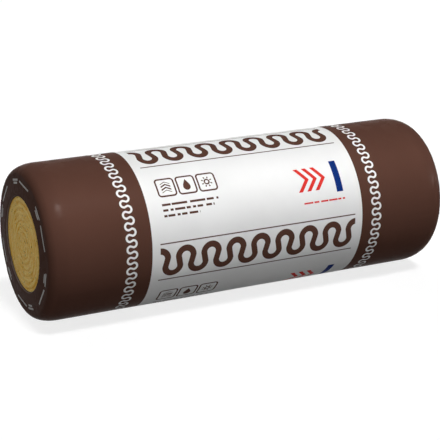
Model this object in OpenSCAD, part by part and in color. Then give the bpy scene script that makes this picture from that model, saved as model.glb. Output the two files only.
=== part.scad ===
// Roll of mineral-wool insulation mat in its printed film sleeve, lying on its side.
// X runs along the roll's axis, Z is up, and the roll touches the plane z = 0 under its middle.
// All sizes are in millimetres.

/* [Roll] */
// Length of the wrapped roll along its axis, set by the width that the mat is cut to
roll_length = 1200; // [800:10:1300]
// Diameter of the wrapped roll
roll_diameter = 426; // [360:2:600]

/* [Film sleeve] */
// Thickness of one layer of the film
film_gauge = 0.1; // [0.05:0.01:0.2]
// Layers of film that lie over each other round the roll
film_layers = 3; // [1:1:5]
// How far each shoulder of the sleeve reaches along the roll
shoulder_reach = 57; // [30:1:90]
// How far each shoulder drops from the side of the roll to the flat of its end
shoulder_drop = 26; // [12:1:50]
// Diameter of the opening that the sleeve leaves in each end
opening_diameter = 256; // [150:1:300]
// Radius at which the edge of the film turns into the opening
lip_radius = 4; // [1:0.5:10]

/* [Mat] */
// Gap between the mat and the film around it
mat_clearance = 0.2; // [0.1:0.05:0.5]
// How far the bare mat in each opening lies behind the flat of the sleeve's end
face_setback = 3; // [0:0.25:4]
// Thickness of one turn of the mat as it is pressed in the roll
turn_thickness = 16; // [10:1:40]
// Width of the seam between two turns, at the face of the end
seam_width = 4; // [2:0.5:8]
// Depth of the seam between two turns
seam_depth = 6; // [2:0.5:12]

/* [Hidden] */
$fn = 128;

film_brown = [0.38, 0.25, 0.21];
wool_yellow = [0.80, 0.68, 0.38];

half_length = roll_length / 2;
roll_radius = roll_diameter / 2;
film_wall = film_gauge * film_layers;
// Distance from the outside of the film in to the mat
mat_inset = film_wall + mat_clearance;
opening_radius = opening_diameter / 2;
// Where the film's edge ends, and the ledge of the mat just behind it
lip_end = half_length - lip_radius;
mat_ledge = lip_end - mat_clearance;
ledge_radius = opening_radius + mat_inset;
// The mat swells through the opening, clear of the film's edge, up to its bare face
bare_face = half_length - face_setback;
bare_radius = opening_radius - mat_clearance;

// Straight steps that each rounded stretch of the profile is drawn with
shoulder_steps = 18;
lip_steps = 6;

// The seam grows by half a turn's thickness in every half turn, about two centres in turn
half_turn_growth = turn_thickness / 2;
first_seam_radius = turn_thickness / 2;
seam_limit_radius = bare_radius - seam_width / 2;
half_turns = ceil((seam_limit_radius - first_seam_radius) / half_turn_growth) + 1;
// The cutter stands this far out of the face, to cut it cleanly
cutter_proud = 1;

function reversed(points) = [for (i = [len(points) - 1 : -1 : 0]) points[i]];

// Points [radius, place along the axis] of the +X end, from the opening's edge out to the
// straight side. inset moves them in, square to the surface.
function end_profile(inset) = concat(
    [for (i = [0 : lip_steps]) let (turn = 90 * i / lip_steps)
        [opening_radius + lip_radius - (lip_radius - inset) * cos(turn),
         lip_end + (lip_radius - inset) * sin(turn)]],
    [for (i = [0 : shoulder_steps]) let (turn = 90 * i / shoulder_steps)
        [roll_radius - shoulder_drop + (shoulder_drop - inset) * sin(turn),
         half_length - shoulder_reach + (shoulder_reach - inset) * cos(turn)]]
);

// The same, on along the side and round the -X end to the opening there
function roll_profile(inset) = concat(
    end_profile(inset),
    [for (point = reversed(end_profile(inset))) [point[0], -point[1]]]
);

// Turns what is drawn about Z onto the roll's own axis, at its height above the floor
module on_roll_axis() {
    translate([0, 0, roll_radius]) rotate([0, 90, 0]) children();
}

// Section of the seam between two turns: a V from the bare face down into the mat
module seam_section() {
    polygon([
        [-seam_width / 2, cutter_proud], [-seam_width / 2, 0], [0, -seam_depth],
        [seam_width / 2, 0], [seam_width / 2, cutter_proud]
    ]);
}

// The seam as it shows on one end, a spiral of half turns that runs out just short of the rim
module spiral_seam() {
    intersection() {
        translate([0, 0, -2 * seam_depth]) cylinder(r = seam_limit_radius, h = 3 * seam_depth);
        union() {
            for (i = [0 : half_turns - 1]) {
                on_second_centre = i % 2;
                translate([(on_second_centre - 0.5) * half_turn_growth, 0, 0])
                    rotate([0, 0, 180 * on_second_centre])
                        rotate_extrude(angle = 180)
                            translate([first_seam_radius + i * half_turn_growth, 0]) seam_section();
            }
        }
    }
}

// The mat, rolled up tight with no bore: it fills the sleeve and is bare in both openings
module wool_mat() {
    color(wool_yellow) on_roll_axis() difference() {
        rotate_extrude()
            polygon(concat(
                [[0, bare_face], [bare_radius, bare_face], [bare_radius, mat_ledge], [ledge_radius, mat_ledge]],
                roll_profile(mat_inset),
                [[ledge_radius, -mat_ledge], [bare_radius, -mat_ledge], [bare_radius, -bare_face], [0, -bare_face]]
            ));
        for (side = [0, 1]) mirror([0, 0, side]) translate([0, 0, bare_face]) spiral_seam();
    }
}

// The sleeve: round shoulders, a flat collar on each end and an edge that turns into the opening
module wrap_film() {
    color(film_brown) on_roll_axis()
        rotate_extrude() polygon(concat(roll_profile(0), reversed(roll_profile(film_wall))));
}

wool_mat();
wrap_film();
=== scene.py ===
"""Looks of a roll of mineral-wool insulation in its printed film sleeve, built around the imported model.

Units are metres. X runs along the roll's axis, Z is up and the roll lies on the floor at z = 0.
Angles round the roll start at its top and grow towards the photographed side, which faces -Y.
"""

import math
import random

import bmesh
import bpy
from mathutils import Matrix, Vector, noise


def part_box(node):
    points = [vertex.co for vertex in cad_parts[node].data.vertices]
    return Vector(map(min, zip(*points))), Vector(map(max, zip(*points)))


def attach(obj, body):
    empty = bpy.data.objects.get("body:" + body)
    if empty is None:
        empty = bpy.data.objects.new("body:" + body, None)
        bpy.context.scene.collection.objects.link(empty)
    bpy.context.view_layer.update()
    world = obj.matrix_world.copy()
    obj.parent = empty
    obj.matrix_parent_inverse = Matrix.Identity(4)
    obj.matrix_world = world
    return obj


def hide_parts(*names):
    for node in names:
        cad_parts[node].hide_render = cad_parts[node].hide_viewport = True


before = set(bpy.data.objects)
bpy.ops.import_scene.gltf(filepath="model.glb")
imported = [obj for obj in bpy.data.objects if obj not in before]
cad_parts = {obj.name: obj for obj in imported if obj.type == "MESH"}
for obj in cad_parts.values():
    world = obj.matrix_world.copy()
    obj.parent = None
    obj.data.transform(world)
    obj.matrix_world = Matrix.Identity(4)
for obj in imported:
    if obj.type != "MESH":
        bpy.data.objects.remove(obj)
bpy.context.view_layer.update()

# Sizes of the roll, from the frame where it gives them
FILM_LOW, FILM_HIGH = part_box("wrap_film")
HALF_LENGTH = (FILM_HIGH.x - FILM_LOW.x) / 2
ROLL_RADIUS = (FILM_HIGH.y - FILM_LOW.y) / 2
AXIS_HEIGHT = ROLL_RADIUS
GIRTH = 2 * math.pi * ROLL_RADIUS
SHOULDER_REACH = 0.057
SHOULDER_DROP = 0.026
OPENING_RADIUS = 0.128
LIP_RADIUS = 0.004
FILM_WALL = 0.0003
FILM_LAP = 0.08
# The pressed wool pushes the collar out a little towards the opening
COLLAR_RISE = 0.003
# The film's edge ends a little way into the opening
FILM_EDGE_PLACE = HALF_LENGTH - 0.0055
TURN_THICKNESS = 0.016

# Steps round the roll, shared by every ring of the film and of the wool
AROUND_STEPS = 384
# Sectors that a turned shape is copied in
SECTORS = 8


# Small tools

def smoothstep(low, high, value):
    """0 below low, 1 above high and smooth between them."""
    t = min(max((value - low) / (high - low), 0.0), 1.0)
    return t * t * (3 - 2 * t)


def angle_round(place):
    """Angle of a point round the roll's axis, from 0 up to a full turn."""
    return math.atan2(-place.y, place.z - AXIS_HEIGHT) % (2 * math.pi)


def radius_of(place):
    """Distance of a point from the roll's axis."""
    return math.hypot(place.y, place.z - AXIS_HEIGHT)


def on_roll(along, radius, angle):
    """The point at a place along the axis, a distance from it and an angle round it."""
    return Vector((along, -radius * math.sin(angle), AXIS_HEIGHT + radius * math.cos(angle)))


def finish_piece(name, bm, material):
    """A bmesh becomes a smooth-shaded object at the origin."""
    for layer in bm.verts.layers.float.values():
        bm.verts.layers.float.remove(layer)
    mesh = bpy.data.meshes.new(name)
    bm.to_mesh(mesh)
    bm.free()
    mesh.polygons.foreach_set("use_smooth", [True] * len(mesh.polygons))
    mesh.materials.append(material)
    piece = bpy.data.objects.new(name, mesh)
    bpy.context.scene.collection.objects.link(piece)
    return piece


# Profiles

def shoulder(inset, steps):
    """Points (radius, place along X) of the +X end's round shoulder, moved in by inset."""
    return [
        (ROLL_RADIUS - SHOULDER_DROP + (SHOULDER_DROP - inset) * math.sin(turn),
         HALF_LENGTH - SHOULDER_REACH + (SHOULDER_REACH - inset) * math.cos(turn))
        for turn in (math.pi / 2 * i / steps for i in range(steps + 1))
    ]


def film_end():
    """The film's profile on the +X end: its edge in the opening, the lip, the collar and the shoulder."""
    lip_steps, collar_steps = 6, 14
    lip_centre = OPENING_RADIUS + LIP_RADIUS
    lip_top = HALF_LENGTH + COLLAR_RISE
    edge = [(OPENING_RADIUS, FILM_EDGE_PLACE)]
    lip = [
        (lip_centre - LIP_RADIUS * math.cos(turn), lip_top - LIP_RADIUS + LIP_RADIUS * math.sin(turn))
        for turn in (math.pi / 2 * i / lip_steps for i in range(lip_steps + 1))
    ]
    collar_width = ROLL_RADIUS - SHOULDER_DROP - lip_centre
    collar = [
        (lip_centre + collar_width * share, lip_top - COLLAR_RISE * smoothstep(0, 1, share))
        for share in (i / collar_steps for i in range(1, collar_steps))
    ]
    return edge + lip + collar + shoulder(0.0, 22)


def roll_profile(end, side_steps):
    """An end's profile, on along the side in side_steps and round the -X end the same way."""
    side_radius, side_start = end[-1]
    side = [(side_radius, side_start * (1 - 2 * i / side_steps)) for i in range(1, side_steps)]
    return end + side + [(radius, -along) for radius, along in reversed(end)]


def vert_order(item):
    """A number that sorts edges and faces by their first vert, and then by their last."""
    indices = [vert.index for vert in item.verts]
    return min(indices) + 1e-6 * max(indices)


def turn_chain(bm, points):
    """Draws (radius, along) points as a chain of edges above the axis and turns it round the axis.

    One sector is spun, and the rest are copies of it. Each vert keeps its angle, from 0 to a full turn,
    in the layer that is returned, so that the first ring and the last can be told apart until they merge.
    """
    angles = bm.verts.layers.float.get("angle") or bm.verts.layers.float.new("angle")
    old_verts, old_edges, old_faces = len(bm.verts), len(bm.edges), len(bm.faces)
    centre = (0, 0, AXIS_HEIGHT)
    sector_angle = 2 * math.pi / SECTORS
    chain = [bm.verts.new(on_roll(along, radius, 0)) for radius, along in points]
    edges = [bm.edges.new(pair) for pair in zip(chain, chain[1:])]
    bmesh.ops.spin(
        bm, geom=chain + edges, cent=centre, axis=(1, 0, 0), dvec=(0, 0, 0), angle=sector_angle,
        steps=AROUND_STEPS // SECTORS, use_merge=False, use_normal_flip=False, use_duplicate=False,
    )
    # The spin leaves edges and faces in no fixed order. They take the order of their verts, so that
    # each run gives the same mesh
    bm.verts.index_update()
    bm.edges.sort(key=vert_order)
    bm.faces.sort(key=vert_order)
    verts, edges, faces = bm.verts[old_verts:], bm.edges[old_edges:], bm.faces[old_faces:]
    first = set(chain)
    for vert in verts:
        vert[angles] = 0.0 if vert in first else angle_round(vert.co)
    turned = list(verts)
    for sector in range(1, SECTORS):
        copied = bmesh.ops.duplicate(bm, geom=verts + edges + faces)["geom"]
        copied = [item for item in copied if isinstance(item, bmesh.types.BMVert)]
        turn = Matrix.Rotation(sector * sector_angle, 3, "X")
        bmesh.ops.rotate(bm, cent=centre, matrix=turn, verts=copied)
        for vert in copied:
            vert[angles] += sector * sector_angle
        turned += copied
    return turned, angles


# Film sleeve

GATHER_HEIGHT = 0.00030
GATHER_REACH = 0.30
SLACK_HEIGHT = 0.0005
LAP_HEIGHT = 0.0006
LAP_EDGE_ANGLE = math.radians(232)
LAP_BLUNT_ANGLE = math.radians(0.9)
# The film starts this far in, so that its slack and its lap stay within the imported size
FILM_INSET = 0.0004


def gather(along, radius, angle):
    """Fine gathers of the film at the openings, which die out past the shoulders."""
    from_opening = HALF_LENGTH - abs(along) + max(radius - OPENING_RADIUS, 0.0)
    closeness = 1 - smoothstep(0.0, GATHER_REACH, from_opening)
    wave = 0.6 * math.sin(46 * angle + 2.1 * math.sin(3 * angle))
    wave += 0.4 * math.sin(71 * angle + 1.7 * math.sin(2 * angle) + math.copysign(1.0, along))
    patchy = 0.6 + 0.5 * noise.noise(Vector((3 * math.cos(angle), 3 * math.sin(angle), 4 * along)))
    return GATHER_HEIGHT * closeness * wave * patchy


def slack(along, angle):
    """The film's slow rise and fall over the wool on the roll's side."""
    place = Vector((6 * along, 1.6 * math.cos(angle), 1.6 * math.sin(angle)))
    return SLACK_HEIGHT * noise.noise(place)


def lap(angle):
    """The film's last edge, lying on the turn below along the back of the roll."""
    width = FILM_LAP / ROLL_RADIUS
    rising = smoothstep(LAP_EDGE_ANGLE - width, LAP_EDGE_ANGLE, angle)
    dropped = smoothstep(LAP_EDGE_ANGLE, LAP_EDGE_ANGLE + LAP_BLUNT_ANGLE, angle)
    return LAP_HEIGHT * rising * (1 - dropped)


def make_film(material):
    """The sleeve: one sheet turned round the axis, moved a little along its normals, with a wall."""
    bm = bmesh.new()
    turn_chain(bm, roll_profile(film_end(), 28))
    bmesh.ops.remove_doubles(bm, verts=bm.verts, dist=1e-6)
    bmesh.ops.recalc_face_normals(bm, faces=bm.faces)
    bm.normal_update()
    moves = []
    for vert in bm.verts:
        along, radius, angle = vert.co.x, radius_of(vert.co), angle_round(vert.co)
        off = gather(along, radius, angle) + slack(along, angle) + lap(angle) - FILM_INSET
        moves.append((vert, vert.normal * off))
    for vert, move in moves:
        vert.co += move
    film = finish_piece("film_sleeve", bm, material)
    wall = film.modifiers.new("wall", "SOLIDIFY")
    wall.thickness = FILM_WALL
    wall.offset = -1
    return film


# Wool mat

# The bare face lies just behind the lip of the film, and swells at the middle
FACE_RADIUS = OPENING_RADIUS - 0.0002
FACE_PLACE = HALF_LENGTH - 0.003
FACE_SWELL = 0.0020
# Places across one turn of the mat, as shares of its thickness, closest at the seam
TURN_SHARES = (0.0, 0.06, 0.13, 0.26, 0.40, 0.56, 0.72, 0.86, 0.94)
# Relief of the bare wool: the seam between turns, the crown of each turn, and uneven and tufted places
SEAM_SHARE = 0.13
SEAM_DEPTH = 0.0024
CROWN_HEIGHT = 0.0007
UNEVEN_HEIGHT = 0.0011
TUFT_HEIGHT = 0.0009
# The relief fades out within these distances of the middle and of the rim
MIDDLE_FADE = 0.002
RIM_FADE = 0.003
# Keeps a ring that starts a turn in that turn, whatever its place rounds to
RING_NUDGE = 1e-4


def swell(radius):
    """Height of the bare face over its rim."""
    return FACE_SWELL * (1 - (radius / FACE_RADIUS) ** 2)


def wool_relief(place, turns, share):
    """Height of the bare wool over its smooth face, by turns from the middle and share of a turn."""
    seam = max(1 - min(share, 1 - share) / SEAM_SHARE, 0.0)
    ragged = 0.6 + 0.4 * noise.noise(Vector((turns * 19, 0.5, 0)))
    crown = CROWN_HEIGHT * math.sin(math.pi * share)
    uneven = UNEVEN_HEIGHT * noise.noise(Vector((turns * 2.3, 7.1, 0)))
    tufts = TUFT_HEIGHT * noise.noise(Vector((place.y * 95, place.z * 95, place.x)))
    return crown + uneven + tufts - SEAM_DEPTH * seam * ragged


def spiral_face(bm, side):
    """One bare end: rings of a disc, drawn out to follow the mat's turns so that they meet end to end."""
    turn_count = math.ceil(FACE_RADIUS / TURN_THICKNESS) + 2
    rings = [(turn + share) * TURN_THICKNESS for turn in range(turn_count) for share in TURN_SHARES]
    turned, angles = turn_chain(bm, [(radius, side * FACE_PLACE) for radius in rings])
    for vert in turned:
        angle = vert[angles]
        ring = radius_of(vert.co) / TURN_THICKNESS - 1 + RING_NUDGE
        turns = math.floor(ring) + angle / (2 * math.pi)
        radius = min(max((ring + angle / (2 * math.pi)) * TURN_THICKNESS, 0.0), FACE_RADIUS)
        place = on_roll(side * (FACE_PLACE + swell(radius)), radius, angle)
        at_rim = smoothstep(FACE_RADIUS - RIM_FADE, FACE_RADIUS, radius)
        rough = smoothstep(0.0, MIDDLE_FADE, radius) * (1 - at_rim)
        place.x += side * rough * wool_relief(place, turns, ring - math.floor(ring))
        vert.co = place


def make_wool(material):
    """The rolled mat: a turned body that fills the sleeve, closed by a spiral face on each end."""
    bm = bmesh.new()
    behind_edge = FILM_EDGE_PLACE - 0.001
    body_inset = 0.003
    rim = [
        (FACE_RADIUS, FACE_PLACE),
        (FACE_RADIUS, behind_edge),
        (OPENING_RADIUS + LIP_RADIUS, behind_edge),
    ]
    turn_chain(bm, roll_profile(rim + shoulder(body_inset, 10), 6))
    for side in (1, -1):
        spiral_face(bm, side)
    bmesh.ops.remove_doubles(bm, verts=bm.verts, dist=1e-5)
    bmesh.ops.recalc_face_normals(bm, faces=bm.faces)
    return finish_piece("wool_roll", bm, material)


def make_fibres(material):
    """Loose fibres that stand a little out of the bare wool, as one mesh of fine tubes."""
    count_each_end, points_each, fibre_radius = 520, 5, 0.00016
    clear_of_rim, rooted = 0.006, 0.0006
    draw = random.Random(11)
    curve = bpy.data.curves.new("loose_fibres", "CURVE")
    curve.dimensions = "3D"
    curve.bevel_depth = fibre_radius
    curve.bevel_resolution = 0
    curve.use_fill_caps = True
    for side in (1, -1):
        for _ in range(count_each_end):
            radius = (FACE_RADIUS - clear_of_rim) * math.sqrt(draw.random())
            angle = draw.uniform(0, 2 * math.pi)
            length = draw.uniform(0.006, 0.020)
            heading = draw.gauss(0, 0.5)
            lift = draw.uniform(0.0006, 0.0028)
            curl = draw.gauss(0, 0.25)
            spline = curve.splines.new("POLY")
            spline.points.add(points_each - 1)
            start = on_roll(0, radius, angle)
            tangent = on_roll(0, radius, angle + 0.01) - start
            tangent.normalize()
            outward = Vector((0, start.y, start.z - AXIS_HEIGHT)).normalized()
            dome = FACE_PLACE + swell(radius)
            for i, point in enumerate(spline.points):
                t = i / (points_each - 1)
                bend = heading + curl * t
                step = tangent * math.cos(bend) + outward * math.sin(bend)
                place = start + step * length * (t - 0.5)
                place.x = side * (dome - rooted + lift * math.sin(math.pi * t))
                point.co = (*place, 1)
    bundle = bpy.data.objects.new("fibre_curves", curve)
    bpy.context.scene.collection.objects.link(bundle)
    depsgraph = bpy.context.evaluated_depsgraph_get()
    mesh = bpy.data.meshes.new_from_object(bundle.evaluated_get(depsgraph))
    bpy.data.objects.remove(bundle)
    mesh.name = "loose_fibres"
    mesh.materials.clear()
    mesh.materials.append(material)
    fibres = bpy.data.objects.new("loose_fibres", mesh)
    bpy.context.scene.collection.objects.link(fibres)
    return fibres


# Shader arithmetic

class Field:
    """A value that changes over a surface: a socket, whose arithmetic adds Math nodes to its tree."""

    def __init__(self, tree, socket):
        self.tree = tree
        self.socket = socket

    def math(self, operation, *others, clamp=False):
        node = self.tree.nodes.new("ShaderNodeMath")
        node.operation = operation
        node.use_clamp = clamp
        for place, value in zip(node.inputs, (self, *others)):
            if isinstance(value, Field):
                self.tree.links.new(value.socket, place)
            else:
                place.default_value = value
        return Field(self.tree, node.outputs[0])

    def __add__(self, other):
        return self.math("ADD", other)

    def __sub__(self, other):
        return self.math("SUBTRACT", other)

    def __mul__(self, other):
        return self.math("MULTIPLY", other)

    def __truediv__(self, other):
        return self.math("DIVIDE", other)

    def __neg__(self):
        return self * -1.0

    def __abs__(self):
        return self.math("ABSOLUTE")

    def share(self):
        return self.math("FRACT")

    def sine(self):
        return self.math("SINE")

    def cosine(self):
        return self.math("COSINE")

    def least(self, other):
        return self.math("MINIMUM", other)

    def most(self, other):
        return self.math("MAXIMUM", other)

    def above(self, limit):
        return self.math("GREATER_THAN", limit)

    def fold(self, reach):
        return self.math("PINGPONG", reach)

    def wrap(self, low, high):
        return self.math("WRAP", high, low)

    def span(self, other):
        """Length of the vector with these two sides."""
        return (self * self + other * other).math("SQRT")

    def inside(self, softness=0.0004):
        """1 where this distance is below 0, with an edge as wide as softness."""
        return self.math("MULTIPLY_ADD", -1.0 / softness, 0.5, clamp=True)


def new_group(name, inputs, outputs):
    """A shader node group with its sockets: its tree, its inputs as Fields and a way to set an output."""
    tree = bpy.data.node_groups.new(name, "ShaderNodeTree")
    for socket, kind, default in inputs:
        made = tree.interface.new_socket(socket, in_out="INPUT", socket_type=kind)
        if default is not None:
            made.default_value = default
    for socket, kind in outputs:
        tree.interface.new_socket(socket, in_out="OUTPUT", socket_type=kind)
    way_in = tree.nodes.new("NodeGroupInput")
    way_out = tree.nodes.new("NodeGroupOutput")
    fields = {socket: Field(tree, way_in.outputs[socket]) for socket, _, _ in inputs}

    def give(socket, field):
        tree.links.new(field.socket, way_out.inputs[socket])

    return tree, fields, give


def place_group(tree, group, **values):
    """Puts a node group into a tree with its own values, and returns its outputs as Fields by name."""
    node = tree.nodes.new("ShaderNodeGroup")
    node.node_tree = group
    for name, value in values.items():
        socket = node.inputs[name]
        if isinstance(value, Field):
            tree.links.new(value.socket, socket)
        else:
            socket.default_value = value
    return {output.name: Field(tree, output) for output in node.outputs}


def combine(tree, x, y, z):
    """A vector from three values."""
    node = tree.nodes.new("ShaderNodeCombineXYZ")
    for socket, value in zip(node.inputs, (x, y, z)):
        if isinstance(value, Field):
            tree.links.new(value.socket, socket)
        else:
            socket.default_value = value
    return Field(tree, node.outputs[0])


def noise_field(tree, vector, scale, detail=3.0, roughness=0.5):
    """Noise from about 0 to 1 over a vector."""
    node = tree.nodes.new("ShaderNodeTexNoise")
    tree.links.new(vector.socket, node.inputs["Vector"])
    node.inputs["Scale"].default_value = scale
    node.inputs["Detail"].default_value = detail
    node.inputs["Roughness"].default_value = roughness
    return Field(tree, node.outputs["Fac"])


def object_place(tree):
    """A point's place on the object, in metres."""
    return Field(tree, tree.nodes.new("ShaderNodeTexCoord").outputs["Object"])


def mix_colour(tree, share, under, over):
    """Colour that goes from under to over as share goes from 0 to 1."""
    node = tree.nodes.new("ShaderNodeMix")
    node.data_type = "RGBA"
    tree.links.new(share.socket, node.inputs["Factor"])
    for name, colour in (("A_Color", under), ("B_Color", over)):
        socket = next(s for s in node.inputs if s.identifier == name)
        if isinstance(colour, Field):
            tree.links.new(colour.socket, socket)
        else:
            socket.default_value = (*colour, 1)
    return Field(tree, next(s for s in node.outputs if s.identifier == "Result_Color"))


def srgb(red, green, blue):
    """A colour as it is read off a screen, 0 to 255, as the shader takes it."""
    def light(level):
        share = level / 255
        return share / 12.92 if share <= 0.04045 else ((share + 0.055) / 1.055) ** 2.4

    return tuple(light(level) for level in (red, green, blue))


def make_roll_place_group():
    """Place on the roll: along its axis, round it from its front up to its top, and out from the axis."""
    tree, given, give = new_group(
        "roll_place", [("Place", "NodeSocketVector", None)],
        [("Along", "NodeSocketFloat"), ("Angle", "NodeSocketFloat"), ("Out", "NodeSocketFloat")],
    )
    split = tree.nodes.new("ShaderNodeSeparateXYZ")
    tree.links.new(given["Place"].socket, split.inputs[0])
    along, back, height = (Field(tree, socket) for socket in split.outputs)
    up = height - AXIS_HEIGHT
    give("Along", along)
    give("Angle", up.math("ARCTAN2", -back))
    give("Out", back.span(up))
    return tree


def make_mottle_group():
    """Slow, uneven change of a surface: a value about 1 that rises and falls by Amount."""
    tree, given, give = new_group(
        "mottle",
        [
            ("Place", "NodeSocketVector", None),
            ("Scale", "NodeSocketFloat", 8.0),
            ("Amount", "NodeSocketFloat", 0.1),
        ],
        [("Value", "NodeSocketFloat")],
    )
    cloud = tree.nodes.new("ShaderNodeTexNoise")
    tree.links.new(given["Place"].socket, cloud.inputs["Vector"])
    tree.links.new(given["Scale"].socket, cloud.inputs["Scale"])
    cloud.inputs["Detail"].default_value = 4.0
    give("Value", (Field(tree, cloud.outputs["Fac"]) - 0.5) * 2.0 * given["Amount"] + 1.0)
    return tree


def make_wave_group():
    """Mask of the looped line that stands for insulation in drawings, along Run and across Swing."""
    tree, given, give = new_group(
        "insulation_wave",
        [
            ("Run", "NodeSocketFloat", 0.0),
            ("Swing", "NodeSocketFloat", 0.0),
            ("Period", "NodeSocketFloat", 0.07),
            ("Straight", "NodeSocketFloat", 0.015),
            ("Loop", "NodeSocketFloat", 0.02),
            ("Stroke", "NodeSocketFloat", 0.012),
        ],
        [("Mask", "NodeSocketFloat")],
    )
    period, straight, loop = given["Period"], given["Straight"], given["Loop"]
    swing = given["Swing"]
    from_top = given["Run"].fold(period * 0.5)
    from_bottom = period * 0.5 - from_top
    top = abs(from_top.span((swing - straight).most(0.0)) - loop)
    bottom = abs(from_bottom.span((-swing - straight).most(0.0)) - loop)
    leaning = period * 0.25 + (loop - period * 0.25) * (swing / straight)
    middle = abs(from_top - leaning)
    is_top, is_bottom = swing.above(straight), (-swing).above(straight)
    distance = top * is_top + bottom * is_bottom + middle * (-(is_top + is_bottom) + 1.0)
    give("Mask", (distance - given["Stroke"] * 0.5).inside())
    return tree


ROLL_PLACE = make_roll_place_group()
MOTTLE = make_mottle_group()
WAVE = make_wave_group()

# Inks of the print
BROWN = srgb(90, 61, 51)
WHITE = (0.87, 0.87, 0.865)
RED = srgb(214, 50, 44)
BLUE = srgb(22, 48, 118)
GREY = srgb(228, 226, 223)
# Not an ink: a paler grey-brown painted on the lip as its reflection
PAINTED_LIP_SHEEN = srgb(136, 122, 118)

PANEL_FROM, PANEL_TO = -0.320, 0.322
# The print comes round four times
ROWS = 4
ROW_GIRTH = GIRTH / ROWS
WAVE_ROW_AT = math.radians(-10) * ROLL_RADIUS


def bar(across, centre, width):
    """Distance to a straight bar's edge, below 0 on the bar."""
    return abs(across - centre) - width / 2


def box(x, y, width, height):
    """Distance to a box about the middle, below 0 in it."""
    return bar(x, 0.0, width).most(bar(y, 0.0, height))


def chevrons(x, y, pitch, count, stroke, rise):
    """A row of arrowheads that point along x."""
    lean = x + abs(y) * 0.8
    stripe = abs(lean.wrap(0.0, pitch) - pitch / 2) - stroke / 2
    body = bar(lean, pitch * count / 2, pitch * count)
    return stripe.most(body).most(bar(y, 0.0, rise))


def tile_frame(x, y, size, stroke):
    """A square frame with round corners."""
    corner = 0.008
    reach = size / 2 - corner
    distance = (abs(x) - reach).most(0.0).span((abs(y) - reach).most(0.0)) - corner
    return abs(distance) - stroke / 2


def layers_sign(x, y):
    """A stack of folded sheets."""
    folded = y + abs(x) * 0.5 - 0.004
    lines = abs(folded.wrap(0.0, 0.009) - 0.0045) - 0.0022
    return lines.most(bar(folded, 0.0, 0.027)).most(bar(x, 0.0, 0.028))


def drop_sign(x, y):
    """A drop of water."""
    ball = x.span(y + 0.0055) - 0.0105
    tip = (abs(x) * 1.8 + y - 0.0175).most(-(y + 0.0005))
    return ball.least(tip)


def sun_sign(x, y):
    """A ring with rays."""
    out = x.span(y)
    ring = abs(out - 0.0066) - 0.0021
    turn = y.math("ARCTAN2", x) * (8 / (2 * math.pi))
    ray = abs(turn.share() - 0.5) * out * (2 * math.pi / 8) - 0.0018
    return ring.least(ray.most(bar(out, 0.0132, 0.0052)))


def small_print(tree, x, y, width, height, seed):
    """A line of fine print, too small to read: bars of uneven length."""
    words = tree.nodes.new("ShaderNodeTexNoise")
    words.noise_dimensions = "1D"
    words.inputs["Scale"].default_value = 1.0
    words.inputs["Detail"].default_value = 1.0
    tree.links.new((x / (height * 2.2) + seed).socket, words.inputs["W"])
    word = -((Field(tree, words.outputs["Fac"]) - 0.41) * 0.02)
    return box(x, y, width, height).most(word).inside()


def wave_row_ink(tree, along, row):
    """The insulation wave between two rules, from border to border of the white print."""
    middle, reach, rule_at, rule_width = 0.001, 0.596, 0.054, 0.0032
    wave = place_group(
        tree, WAVE, Run=along - middle, Swing=row, Period=0.0745,
        Straight=0.013, Loop=0.0215, Stroke=0.0175,
    )["Mask"]
    rules = (abs(abs(row) - rule_at) - rule_width / 2).inside()
    return wave.most(rules) * bar(along, middle, reach).inside()


def signs_ink(tree, along, upper):
    """Three framed signs in a row and lines of fine print below them, at the left."""
    first_at, pitch, signs_up = -0.252, 0.060, 0.205
    ink = None
    for i, sign in enumerate((layers_sign, drop_sign, sun_sign)):
        x = along - (first_at + pitch * i)
        y = upper - signs_up
        framed = tile_frame(x, y, size=0.051, stroke=0.0046).least(sign(x, y)).inside()
        ink = framed if ink is None else ink.most(framed)
    lines_from, first_line_up, line_pitch, line_height = -0.277, 0.156, 0.015, 0.006
    for i, width in enumerate((0.165, 0.150, 0.105)):
        x = along - (lines_from + width / 2)
        y = upper - (first_line_up - line_pitch * i)
        ink = ink.most(small_print(tree, x, y, width, line_height, seed=40 * i))
    return ink


def heat_inks(tree, along, upper):
    """Heat held back by a layer, at the right: red arrowheads with fine print below, and a blue bar."""
    heat_up, line_up = 0.170, 0.104
    arrows_from, line_at, layer_at = 0.150, 0.205, 0.258
    y = upper - heat_up
    arrows = chevrons(along - arrows_from, y, pitch=0.026, count=3, stroke=0.0125, rise=0.068)
    line = small_print(tree, along - line_at, upper - line_up, width=0.130, height=0.0045, seed=7)
    layer = box(along - layer_at, y, width=0.020, height=0.092)
    return arrows.inside().most(line), layer.inside()


def wave_rings_ink(tree, along, around):
    """A small insulation wave round each brown end."""
    rings = [
        place_group(
            tree, WAVE, Run=around, Swing=along - centre, Period=GIRTH / 44,
            Straight=0.0042, Loop=0.0092, Stroke=0.0058,
        )["Mask"]
        for centre in (-0.377, 0.369)
    ]
    return rings[0].most(rings[1])


def collar_ink(angle, out):
    """Six pairs of a dash and two short bars round each collar."""
    half_pitch = math.pi / 6
    dash_out, dash_at, bars_at = 0.1685, math.radians(21.5), math.radians(44)
    from_dash = (angle - dash_at).wrap(-half_pitch, half_pitch)
    from_bars = (angle - bars_at).wrap(-half_pitch, half_pitch)
    dash = box(out * from_dash.sine(), out * from_dash.cosine() - dash_out, width=0.068, height=0.0052)
    ink = dash.inside()
    for bar_out, width in ((0.1725, 0.040), (0.1645, 0.028)):
        short_bar = box(out * from_bars.sine(), out * from_bars.cosine() - bar_out, width, height=0.0054)
        ink = ink.most(short_bar.inside())
    return ink


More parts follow.
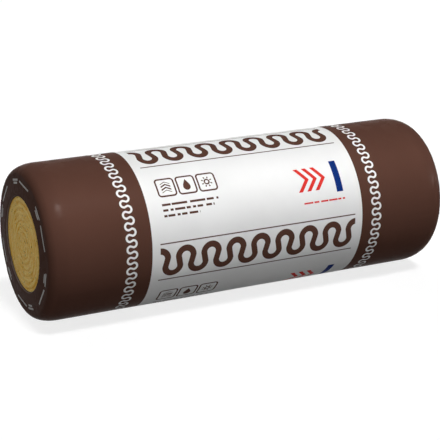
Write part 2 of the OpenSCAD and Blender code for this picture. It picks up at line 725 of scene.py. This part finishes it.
def print_on_film(tree, along, angle, out):
    """The printed colour of the film at a place on it, with a painted reflection on the lip."""
    around = angle * ROLL_RADIUS
    row = (around - WAVE_ROW_AT).wrap(-ROW_GIRTH / 2, ROW_GIRTH / 2)
    upper = (around - WAVE_ROW_AT).wrap(0.0, ROW_GIRTH)

    panel = bar(along, (PANEL_FROM + PANEL_TO) / 2, PANEL_TO - PANEL_FROM).inside()
    colour = mix_colour(tree, panel, BROWN, WHITE)
    brown_ink = wave_row_ink(tree, along, row).most(signs_ink(tree, along, upper))
    colour = mix_colour(tree, brown_ink * panel, colour, BROWN)
    red_ink, blue_ink = heat_inks(tree, along, upper)
    colour = mix_colour(tree, red_ink * panel, colour, RED)
    colour = mix_colour(tree, blue_ink * panel, colour, BLUE)

    on_side = out.above(ROLL_RADIUS - 0.004)
    colour = mix_colour(tree, wave_rings_ink(tree, along, around) * on_side, colour, WHITE)
    on_collar = abs(along).above(HALF_LENGTH - 0.004)
    colour = mix_colour(tree, collar_ink(angle, out) * on_collar, colour, GREY)

    # Painted reflection: the film's edge round the lip is coloured a paler grey-brown, standing in for
    # the sheen of its gloss there
    painted_lip_sheen = (out - (OPENING_RADIUS + 0.0022)).inside(0.002)
    return mix_colour(tree, painted_lip_sheen, colour, PAINTED_LIP_SHEEN)


def new_material(name):
    """A material with its tree and its Principled shader."""
    material = bpy.data.materials.new(name)
    material.use_nodes = True
    return material, material.node_tree, material.node_tree.nodes["Principled BSDF"]


def tint(tree, colour, value):
    """A colour made lighter or darker by a value about 1."""
    node = tree.nodes.new("ShaderNodeVectorMath")
    node.operation = "SCALE"
    tree.links.new(colour.socket, node.inputs[0])
    tree.links.new(value.socket, node.inputs["Scale"])
    return Field(tree, node.outputs[0])


def bump(tree, shader, height, distance, strength=1.0):
    """Fine relief on a shader's Normal."""
    node = tree.nodes.new("ShaderNodeBump")
    node.inputs["Distance"].default_value = distance
    node.inputs["Strength"].default_value = strength
    tree.links.new(height.socket, node.inputs["Height"])
    tree.links.new(node.outputs["Normal"], shader.inputs["Normal"])


def film_material():
    """Satin polyethylene film with its print."""
    material, tree, shader = new_material("printed_film")
    place = object_place(tree)
    on = place_group(tree, ROLL_PLACE, Place=place)
    colour = print_on_film(tree, on["Along"], on["Angle"], on["Out"])
    cloud = place_group(tree, MOTTLE, Place=place, Scale=9.0, Amount=0.05)["Value"]
    # Painted shade: the film's colour is darkened over the shoulders, and more on the collars, where the
    # ends turn away from the light
    from_end = -abs(on["Along"]) + HALF_LENGTH
    painted_shoulder_shade = (from_end - 0.038).inside(0.041) * -0.145 + 1.0
    painted_collar_shade = (from_end - 0.011).inside(0.0166) * -0.36 + 1.0
    tree.links.new(tint(tree, colour, cloud * painted_shoulder_shade * painted_collar_shade).socket, shader.inputs["Base Color"])
    gloss = place_group(tree, MOTTLE, Place=place, Scale=22.0, Amount=0.22)["Value"]
    tree.links.new((gloss * 0.27).socket, shader.inputs["Roughness"])
    shader.inputs["Specular IOR Level"].default_value = 0.002
    crinkle = noise_field(tree, place, 55.0, detail=4.0)
    bump(tree, shader, crinkle, 0.0004, 0.12)
    return material


def wool_material():
    """Yellow mineral wool, cut across its turns: soft streaks along them, loose grain and dark specks."""
    material, tree, shader = new_material("mineral_wool")
    place = object_place(tree)
    on = place_group(tree, ROLL_PLACE, Place=place)
    angle, out = on["Angle"], on["Out"]
    cosine, sine = angle.cosine(), angle.sine()
    bands = noise_field(tree, combine(tree, cosine * 2.2, sine * 2.2, out * 150.0), 1.0, detail=2.0)
    thin = combine(tree, cosine * 5.0, sine * 5.0, out * 800.0)
    lines = noise_field(tree, thin, 1.0, detail=4.0, roughness=0.6)
    grain = noise_field(tree, place, 420.0, detail=3.0, roughness=0.7)
    share = (out / TURN_THICKNESS - (-angle + math.pi / 2) / (2 * math.pi)).share()
    from_seam = share.least(-share + 1.0)
    streaks = (bands - 0.5) * 1.9 + (lines - 0.5) * 2.4 + (from_seam - 0.25) * 0.9
    band = (streaks + 0.5).math("MULTIPLY", 1.0, clamp=True)
    colour = mix_colour(tree, band, srgb(224, 168, 53), srgb(239, 214, 134))

    specks = tree.nodes.new("ShaderNodeTexVoronoi")
    specks.inputs["Scale"].default_value = 105.0
    tree.links.new(place.socket, specks.inputs["Vector"])
    speck = (Field(tree, specks.outputs["Distance"]) - 0.20).inside(0.08)
    patch = noise_field(tree, place, 45.0, detail=1.0).above(0.51)
    colour = mix_colour(tree, speck * patch * 0.8, colour, srgb(84, 66, 36))

    # The wool is darker along the seams between its turns
    seam = (from_seam - 0.06).inside(0.12)
    cloud = place_group(tree, MOTTLE, Place=place, Scale=30.0, Amount=0.08)["Value"]
    shade = (seam * -0.12 + 1.0) * ((grain - 0.5) * 0.7 + 1.0) * cloud
    tree.links.new(tint(tree, colour, shade).socket, shader.inputs["Base Color"])
    shader.inputs["Roughness"].default_value = 0.95
    shader.inputs["Specular IOR Level"].default_value = 0.1
    shader.inputs["Sheen Weight"].default_value = 0.1
    bump(tree, shader, lines * 0.5 + grain * 0.5, 0.002, 0.6)
    return material


def fibre_material():
    """Single pale fibres."""
    material, tree, shader = new_material("loose_fibre")
    place = object_place(tree)
    share = noise_field(tree, place, 180.0, detail=2.0)
    colour = mix_colour(tree, share, srgb(226, 184, 96), srgb(250, 236, 190))
    tree.links.new(colour.socket, shader.inputs["Base Color"])
    shader.inputs["Roughness"].default_value = 0.6
    return material


# The roll

film = make_film(film_material())
wool = make_wool(wool_material())
fibres = make_fibres(fibre_material())

for piece, slot in ((film, "film"), (wool, "wool"), (fibres, "wool")):
    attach(piece, "root")
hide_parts("wrap_film")
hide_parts("wool_mat")


# Stage

# The floor's own glow where it is seen, and how bright it is under the lamps: together they show as white
FLOOR_GLOW = 0.78
FLOOR_SHADE = 0.32
# What the floor and the world throw back on the roll
FLOOR_BOUNCE = 0.08
WORLD_LIGHT = 0.03
WARM_WHITE = (1.0, 0.84, 0.80)


def seen_rays(tree):
    """1 for rays from the camera, from gloss and through glass, 0 for the light on the roll."""
    path = tree.nodes.new("ShaderNodeLightPath")
    seen = Field(tree, path.outputs["Is Camera Ray"]).most(Field(tree, path.outputs["Is Glossy Ray"]))
    return seen.most(Field(tree, path.outputs["Is Transmission Ray"]))


def make_floor():
    """A pale floor that shows white, with the roll's shadow, and throws little light back up."""
    bm = bmesh.new()
    bmesh.ops.create_grid(bm, x_segments=1, y_segments=1, size=30)
    material = bpy.data.materials.new("floor")
    material.use_nodes = True
    tree = material.node_tree
    tree.nodes.clear()
    out = tree.nodes.new("ShaderNodeOutputMaterial")
    choose = tree.nodes.new("ShaderNodeMixShader")
    add = tree.nodes.new("ShaderNodeAddShader")
    glow = tree.nodes.new("ShaderNodeEmission")
    shaded = tree.nodes.new("ShaderNodeBsdfDiffuse")
    bounce = tree.nodes.new("ShaderNodeBsdfDiffuse")
    glow.inputs["Strength"].default_value = FLOOR_GLOW
    shaded.inputs["Color"].default_value = (FLOOR_SHADE, FLOOR_SHADE, FLOOR_SHADE, 1)
    bounce.inputs["Color"].default_value = (FLOOR_BOUNCE, FLOOR_BOUNCE, FLOOR_BOUNCE, 1)
    tree.links.new(glow.outputs[0], add.inputs[0])
    tree.links.new(shaded.outputs[0], add.inputs[1])
    tree.links.new(seen_rays(tree).socket, choose.inputs[0])
    tree.links.new(bounce.outputs[0], choose.inputs[1])
    tree.links.new(add.outputs[0], choose.inputs[2])
    tree.links.new(choose.outputs[0], out.inputs["Surface"])
    floor = finish_piece("floor", bm, material)


def make_world():
    """White where it is seen, dim as a light."""
    world = bpy.data.worlds.new("studio")
    bpy.context.scene.world = world
    world.use_nodes = True
    tree = world.node_tree
    background = tree.nodes["Background"]
    background.inputs["Color"].default_value = (1, 1, 1, 1)
    strength = seen_rays(tree).most(WORLD_LIGHT)
    tree.links.new(strength.socket, background.inputs["Strength"])


def make_lamp(name, level, width, direction, shade=True, gloss=True, colour=(1, 1, 1)):
    """A far lamp, width degrees across, that lights a white face square to it at a level of full white.

    It may be kept out of the shading, to be a glint alone, or out of the gloss, to be a soft fill.
    """
    data = bpy.data.lights.new(name, "SUN")
    data.energy = level * math.pi
    data.color = colour
    data.angle = math.radians(width)
    lamp = bpy.data.objects.new(name, data)
    lamp.rotation_euler = Vector(direction).to_track_quat("Z", "Y").to_euler()
    lamp.visible_diffuse = shade
    lamp.visible_glossy = gloss
    bpy.context.scene.collection.objects.link(lamp)


def make_strip():
    """A long, narrow softbox along the roll, with a grid that keeps its light off the ends."""
    past_ends, strip_width, power = 0.3, 0.1, 0.213
    grid_spread, elevation = math.radians(40), math.radians(42)
    radii_off = 3
    data = bpy.data.lights.new("strip", "AREA")
    data.shape = "RECTANGLE"
    data.size = 2 * HALF_LENGTH + past_ends
    data.size_y = strip_width
    data.spread = grid_spread
    data.energy = power
    lamp = bpy.data.objects.new("strip", data)
    towards = Vector((0, -math.cos(elevation), math.sin(elevation)))
    lamp.location = Vector((0, 0, AXIS_HEIGHT)) + towards * radii_off * ROLL_RADIUS
    lamp.rotation_euler = towards.to_track_quat("Z", "Y").to_euler()
    lamp.visible_camera = False
    lamp.visible_glossy = False
    bpy.context.scene.collection.objects.link(lamp)


def make_camera():
    """Stands where the photograph was taken from; distances are in radii of the roll, from its middle."""
    azimuth, elevation = math.radians(-26.7786), math.radians(17.4651)
    distance, aim_right, aim_down = 19.0385, 0.0686, -0.0779
    focal_px, picture_px, sensor_mm = 1435.48, 440, 36
    back = Vector((
        math.sin(azimuth) * math.cos(elevation),
        -math.cos(azimuth) * math.cos(elevation),
        math.sin(elevation),
    ))
    right = (-back).cross(Vector((0, 0, 1))).normalized()
    up = back.cross(right)
    place = distance * back - aim_right * right + aim_down * up
    data = bpy.data.cameras.new("camera")
    data.sensor_width = sensor_mm
    data.lens = sensor_mm * focal_px / picture_px
    camera = bpy.data.objects.new("camera", data)
    bpy.context.scene.collection.objects.link(camera)
    turn = Matrix((right, up, back)).transposed().to_4x4()
    camera.matrix_world = Matrix.Translation(place * ROLL_RADIUS + Vector((0, 0, AXIS_HEIGHT))) @ turn
    bpy.context.scene.camera = camera


make_floor()
make_world()
make_lamp("key", level=0.58, width=10, direction=(0.06, -0.44, 0.90))
make_lamp("front", level=0.26, width=30, direction=(-0.10, -0.96, 0.24))
make_lamp("back", level=0.46, width=40, direction=(0.05, 0.945, 0.326), gloss=False)
make_lamp("left_fill", level=0.27, width=30, direction=(-0.98, 0.0, 0.18))
make_lamp("right_fill", level=0.12, width=30, direction=(0.98, -0.05, 0.18))
make_lamp("right_end", level=0.5, width=6, direction=(1.0, 0.0, 0.0))
GLINT = {"width": 8, "shade": False, "colour": WARM_WHITE}
make_lamp("shoulder_glint", level=9.8, direction=(0.12, -0.46, 0.88), **GLINT)
make_lamp("right_glint", level=3.0, direction=(0.84, -0.47, 0.27), **GLINT)
make_strip()
make_camera()
bpy.context.scene.view_settings.view_transform = "Standard"
